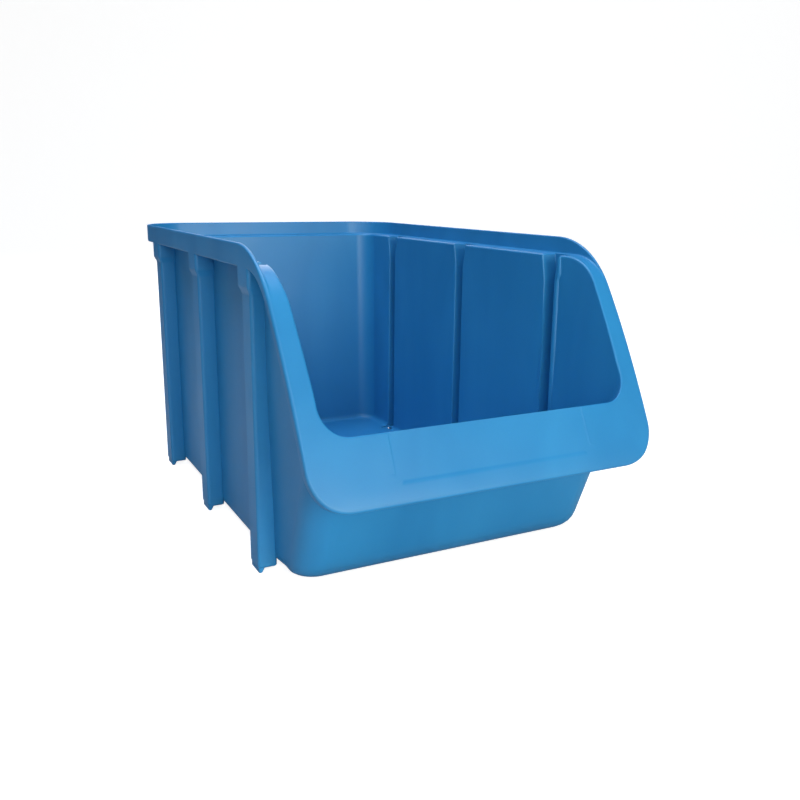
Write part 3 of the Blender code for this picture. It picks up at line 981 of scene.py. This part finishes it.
def studio_floor():
    """A plain pale paper sweep: level under the bin, and curved up to a wall a long way behind it."""
    profile = [(SWEEP_FRONT, 0.0)]
    for turn in quarter_turns(SWEEP_STEPS):
        profile.append((SWEEP_START + SWEEP_RADIUS * sin(turn), SWEEP_RADIUS * (1 - cos(turn))))
    profile.append((SWEEP_START + SWEEP_RADIUS, SWEEP_HEIGHT))
    facing = Matrix.Rotation(-CAMERA_YAW, 3, "Z")
    work = bmesh.new()
    left, right = (
        [work.verts.new(facing @ Vector((x, y, z))) for y, z in profile] for x in (-SWEEP_HALF, SWEEP_HALF)
    )
    for i in range(len(profile) - 1):
        work.faces.new((left[i], right[i], right[i + 1], left[i + 1]))
    mesh = bpy.data.meshes.new("studio_sweep")
    work.to_mesh(mesh)
    work.free()
    mesh.shade_smooth()
    sweep = new_object("studio_sweep", mesh)
    material = bpy.data.materials.new("matt_white_paper")
    material.use_nodes = True
    shader = material.node_tree.nodes["Principled BSDF"]
    shader.inputs["Base Color"].default_value = linear("#B8B8B8")
    shader.inputs["Roughness"].default_value = 0.9
    shader.inputs["Specular IOR Level"].default_value = 0.1
    shader.inputs["Emission Color"].default_value = linear("#FFFFFF")
    ray = add(material.node_tree, "ShaderNodeLightPath").outputs["Is Camera Ray"]
    glow = add(material.node_tree, "ShaderNodeMath", [(0, ray), (1, SWEEP_GLOW)], operation="MULTIPLY")
    material.node_tree.links.new(glow.outputs[0], shader.inputs["Emission Strength"])
    mesh.materials.append(material)


def softbox(name, place, size, watts, colour):
    """A round soft box that faces the middle of the bin."""
    data = bpy.data.lights.new(name, "AREA")
    data.shape = "DISK"
    data.size = size
    data.energy = watts
    data.color = linear(colour)[:3]
    light = new_object(name, data)
    light.location = place
    light.rotation_mode = "QUATERNION"
    light.rotation_quaternion = (Vector(BIN_MIDDLE) - Vector(place)).to_track_quat("-Z", "Y")


def studio_world():
    """An even pale sky: white to the camera, and a dimmer fill light that is weaker from the left."""
    world = bpy.data.worlds.new("studio")
    bpy.context.scene.world = world
    world.use_nodes = True
    tree = world.node_tree
    tree.nodes.clear()
    ray = add(tree, "ShaderNodeLightPath").outputs["Is Camera Ray"]
    seen = add(tree, "ShaderNodeBackground", [("Color", linear("#FFFFFF")), ("Strength", 1.0)])
    way = add(tree, "ShaderNodeTexCoord").outputs["Generated"]
    sideways = add(tree, "ShaderNodeSeparateXYZ", [("Vector", way)]).outputs["X"]
    side = [("Value", sideways), ("From Min", -1.0), ("To Min", FILL_LEFT), ("To Max", FILL_RIGHT)]
    strength = add(tree, "ShaderNodeMapRange", side).outputs["Result"]
    fill = add(tree, "ShaderNodeBackground", [("Color", linear("#F6F8FC")), ("Strength", strength)])
    both = add(tree, "ShaderNodeMixShader", [("Fac", ray), (1, fill.outputs[0]), (2, seen.outputs[0])])
    add(tree, "ShaderNodeOutputWorld", [("Surface", both.outputs[0])])


def studio_camera():
    """The camera looks in over the left arm of the mouth, a little above the rim."""
    data = bpy.data.cameras.new("camera")
    data.lens = CAMERA_LENS
    data.sensor_width = 36.0
    data.clip_start = 0.01
    camera = new_object("camera", data)
    forward = Vector(
        (
            sin(CAMERA_YAW) * cos(CAMERA_PITCH),
            cos(CAMERA_YAW) * cos(CAMERA_PITCH),
            -sin(CAMERA_PITCH),
        )
    )
    level = Vector((cos(CAMERA_YAW), -sin(CAMERA_YAW), 0.0))
    above = level.cross(forward)
    right = level * cos(CAMERA_ROLL) + above * sin(CAMERA_ROLL)
    up = right.cross(forward)
    turned = Matrix((right, up, -forward)).transposed().to_4x4()
    camera.matrix_world = Matrix.Translation(CAMERA_PLACE) @ turned
    bpy.context.scene.camera = camera


studio_floor()
studio_world()
softbox("front_softbox", (0.15, -1.60, 0.22), size=1.0, watts=23.0, colour="#FBFFF6")
softbox("left_softbox", (-0.70, -1.30, 0.70), size=1.0, watts=8.5, colour="#FFFFFF")
softbox("top_softbox", (-0.25, 0.25, 1.50), size=1.1, watts=22.0, colour="#DDEAFF")
softbox("back_softbox", (0.60, 1.50, 0.80), size=1.2, watts=9.0, colour="#FFFFFF")
studio_camera()
bpy.context.scene.view_settings.view_transform = "Standard"
